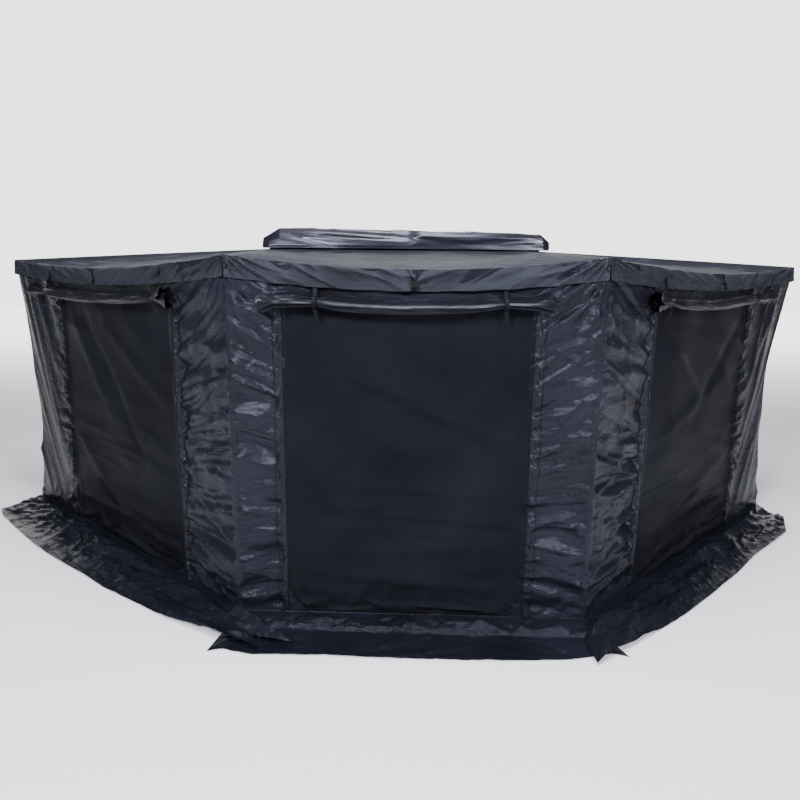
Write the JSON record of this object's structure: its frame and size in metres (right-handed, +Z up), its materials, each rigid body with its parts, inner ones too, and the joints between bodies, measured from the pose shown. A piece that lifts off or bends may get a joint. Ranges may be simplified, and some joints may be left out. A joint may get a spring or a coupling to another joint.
{
  "type": "vehicle side awning",
  "caption": "Fan-shaped fold-out shade awning for a vehicle's rack, with swinging arms, stowed telescopic legs, zip-on walls with doors and ground skirts.",
  "frame": {"origin": "underside of the middle rack bracket's shelf, between its two slots, where the vehicle's rack carries the awning", "axes": "+X along the vehicle to the right when facing the awning from outside, +Y towards the vehicle, +Z up"},
  "size_m": [6.7222, 2.7371, 2.2593],
  "materials": {
    "aluminium_black": "satin anodised",
    "bracket_steel": "black powder coat",
    "plain_steel": "zinc plated",
    "black_plastic": "moulded",
    "roof_cloth": "coated ripstop",
    "wall_cloth": "coated canvas",
    "door_cloth": "fine mesh and canvas",
    "skirt_cloth": "coated cloth",
    "cover_cloth": "glossy coated cloth"
  },
  "bodies": {
    "frame": {"back_plate": "aluminium_black", "rack_bracket_left": "bracket_steel", "rack_bracket_centre": "bracket_steel", "rack_bracket_right": "bracket_steel", "hub_bracket_left": "bracket_steel", "hub_bracket_right": "bracket_steel", "hub_pin_left_front": "plain_steel", "hub_pin_left_outer": "plain_steel", "hub_pin_right_front": "plain_steel", "hub_pin_right_outer": "plain_steel", "canopy_centre": "roof_cloth", "canopy_left": "roof_cloth", "canopy_right": "roof_cloth", "wall_left": "wall_cloth", "door_left": "door_cloth", "skirt_left": "skirt_cloth", "door_roll_left": "wall_cloth", "valance_buckle_left": "black_plastic", "wall_front": "wall_cloth", "door_front": "door_cloth", "skirt_front": "skirt_cloth", "door_roll_front": "wall_cloth", "valance_buckle_front": "black_plastic", "wall_right": "wall_cloth", "door_right": "door_cloth", "skirt_right": "skirt_cloth", "door_roll_right": "wall_cloth", "valance_buckle_right": "black_plastic", "travel_cover": "cover_cloth", "corner_ring_left": "black_plastic", "corner_ring_right": "black_plastic"},
    "arm_left_front": {"arm_left_front": "aluminium_black", "leg_bolt_left_front": "plain_steel"},
    "leg_left_front": {"leg_outer_left_front": "aluminium_black"},
    "lever_left_front": {"leg_lever_left_front": "black_plastic"},
    "inner_left_front": {"leg_inner_left_front": "plain_steel", "foot_left_front": "black_plastic"},
    "arm_left_outer": {"arm_left_outer": "aluminium_black", "leg_bolt_left_outer": "plain_steel"},
    "leg_left_outer": {"leg_outer_left_outer": "aluminium_black"},
    "lever_left_outer": {"leg_lever_left_outer": "black_plastic"},
    "inner_left_outer": {"leg_inner_left_outer": "plain_steel", "foot_left_outer": "black_plastic"},
    "arm_right_front": {"arm_right_front": "aluminium_black", "leg_bolt_right_front": "plain_steel"},
    "leg_right_front": {"leg_outer_right_front": "aluminium_black"},
    "lever_right_front": {"leg_lever_right_front": "black_plastic"},
    "inner_right_front": {"leg_inner_right_front": "plain_steel", "foot_right_front": "black_plastic"},
    "arm_right_outer": {"arm_right_outer": "aluminium_black", "leg_bolt_right_outer": "plain_steel"},
    "leg_right_outer": {"leg_outer_right_outer": "aluminium_black"},
    "lever_right_outer": {"leg_lever_right_outer": "black_plastic"},
    "inner_right_outer": {"leg_inner_right_outer": "plain_steel", "foot_right_outer": "black_plastic"},
    "slider_left": {"zip_slider_left": "plain_steel"},
    "slider_front": {"zip_slider_front": "plain_steel"},
    "slider_right": {"zip_slider_right": "plain_steel"}
  },
  "joints": [
    {"name": "left_front_arm_fold", "type": "hinge", "parent": "frame", "child": "arm_left_front", "pos_m": [-1.035, -0.1573, -0.0475], "axis": [0, 0, 1], "range_deg": [0, 87.5]},
    {"name": "left_front_leg_fold", "type": "hinge", "parent": "arm_left_front", "child": "leg_left_front", "pos_m": [-0.94732, -2.16539, -0.0475], "axis": [-0.999, -0.0436, 0], "range_deg": [0, 90]},
    {"name": "left_front_leg_extend", "type": "slide", "parent": "leg_left_front", "child": "inner_left_front", "axis": [-0.0436, 0.999, 0], "range_m": [0, 0.78]},
    {"name": "left_front_clamp_lever", "type": "hinge", "parent": "leg_left_front", "child": "lever_left_front", "pos_m": [-0.99047, -1.17733, -0.0693], "axis": [0.999, 0.0436, 0], "range_deg": [0, 95]},
    {"name": "left_outer_arm_fold", "type": "hinge", "parent": "frame", "child": "arm_left_outer", "pos_m": [-1.087, -0.2053, -0.0475], "axis": [0, 0, 1], "range_deg": [0, 180], "deforming": ["canopy_left", "canopy_centre", "wall_left", "wall_front", "door_left", "door_front", "skirt_left", "skirt_front", "door_roll_left", "door_roll_front", "valance_buckle_left", "valance_buckle_front", "corner_ring_left", "corner_ring_right"]},
    {"name": "left_outer_leg_fold", "type": "hinge", "parent": "arm_left_outer", "child": "leg_left_outer", "pos_m": [-3.097, -0.2053, -0.0475], "axis": [0, 1, 0], "range_deg": [0, 90]},
    {"name": "left_outer_leg_extend", "type": "slide", "parent": "leg_left_outer", "child": "inner_left_outer", "axis": [1, 0, 0], "range_m": [0, 0.78]},
    {"name": "left_outer_clamp_lever", "type": "hinge", "parent": "leg_left_outer", "child": "lever_left_outer", "pos_m": [-2.108, -0.2053, -0.0693], "axis": [0, -1, 0], "range_deg": [0, 95]},
    {"name": "right_front_arm_fold", "type": "hinge", "parent": "frame", "child": "arm_right_front", "pos_m": [1.035, -0.2533, -0.0475], "axis": [0, 0, -1], "range_deg": [0, 87.5]},
    {"name": "right_front_leg_fold", "type": "hinge", "parent": "arm_right_front", "child": "leg_right_front", "pos_m": [0.94732, -2.26139, -0.0475], "axis": [-0.999, 0.0436, 0], "range_deg": [0, 90]},
    {"name": "right_front_leg_extend", "type": "slide", "parent": "leg_right_front", "child": "inner_right_front", "axis": [0.0436, 0.999, 0], "range_m": [0, 0.78]},
    {"name": "right_front_clamp_lever", "type": "hinge", "parent": "leg_right_front", "child": "lever_right_front", "pos_m": [0.99047, -1.27333, -0.0693], "axis": [0.999, -0.0436, 0], "range_deg": [0, 95]},
    {"name": "right_outer_arm_fold", "type": "hinge", "parent": "frame", "child": "arm_right_outer", "pos_m": [1.087, -0.3013, -0.0475], "axis": [0, 0, -1], "range_deg": [0, 180], "deforming": ["canopy_right", "canopy_centre", "wall_right", "wall_front", "door_right", "door_front", "skirt_right", "skirt_front", "door_roll_right", "door_roll_front", "valance_buckle_right", "valance_buckle_front", "corner_ring_left", "corner_ring_right"]},
    {"name": "right_outer_leg_fold", "type": "hinge", "parent": "arm_right_outer", "child": "leg_right_outer", "pos_m": [3.097, -0.3013, -0.0475], "axis": [0, -1, 0], "range_deg": [0, 90]},
    {"name": "right_outer_leg_extend", "type": "slide", "parent": "leg_right_outer", "child": "inner_right_outer", "axis": [-1, 0, 0], "range_m": [0, 0.78]},
    {"name": "right_outer_clamp_lever", "type": "hinge", "parent": "leg_right_outer", "child": "lever_right_outer", "pos_m": [2.108, -0.3013, -0.0693], "axis": [0, 1, 0], "range_deg": [0, 95]},
    {"name": "left_door_zip", "type": "slide", "parent": "frame", "child": "slider_left", "axis": [0, 0, 1], "range_m": [-0.9308, 0.3892]},
    {"name": "front_door_zip", "type": "slide", "parent": "frame", "child": "slider_front", "axis": [0, 0, 1], "range_m": [-1.2164, 0.1036]},
    {"name": "right_door_zip", "type": "slide", "parent": "frame", "child": "slider_right", "axis": [0, 0, 1], "range_m": [-0.998, 0.322]}
  ],
  "couplings": [
    {"joint": "left_front_arm_fold", "follows": "left_outer_arm_fold", "ratio": 0.4861},
    {"joint": "right_front_arm_fold", "follows": "right_outer_arm_fold", "ratio": 0.4861}
  ]
}
